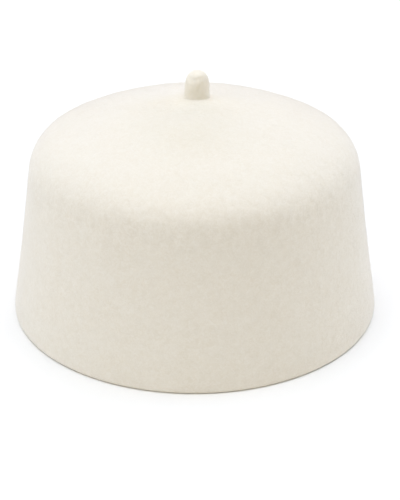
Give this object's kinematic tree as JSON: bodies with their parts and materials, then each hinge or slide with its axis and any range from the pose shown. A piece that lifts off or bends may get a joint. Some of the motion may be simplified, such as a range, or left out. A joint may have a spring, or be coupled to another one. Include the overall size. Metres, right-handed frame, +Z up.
{
  "type": "brimless felt hat",
  "caption": "Low, brimless hat of cream pressed wool felt, with a tapered wall, a rounded shoulder, a softly domed top and a small felt stem, open below for the head.",
  "frame": {"origin": "middle of the rim, on the surface that the hat stands on", "axes": "+Z up through the middle of the top, -Y towards the viewer, +X to the viewer's right"},
  "size_m": [0.19, 0.19, 0.1207],
  "materials": {
    "felt": "matte pressed wool felt with a fine fibrous nap"
  },
  "bodies": {
    "root": {"crown": "felt", "stem": "felt"}
  },
  "joints": []
}
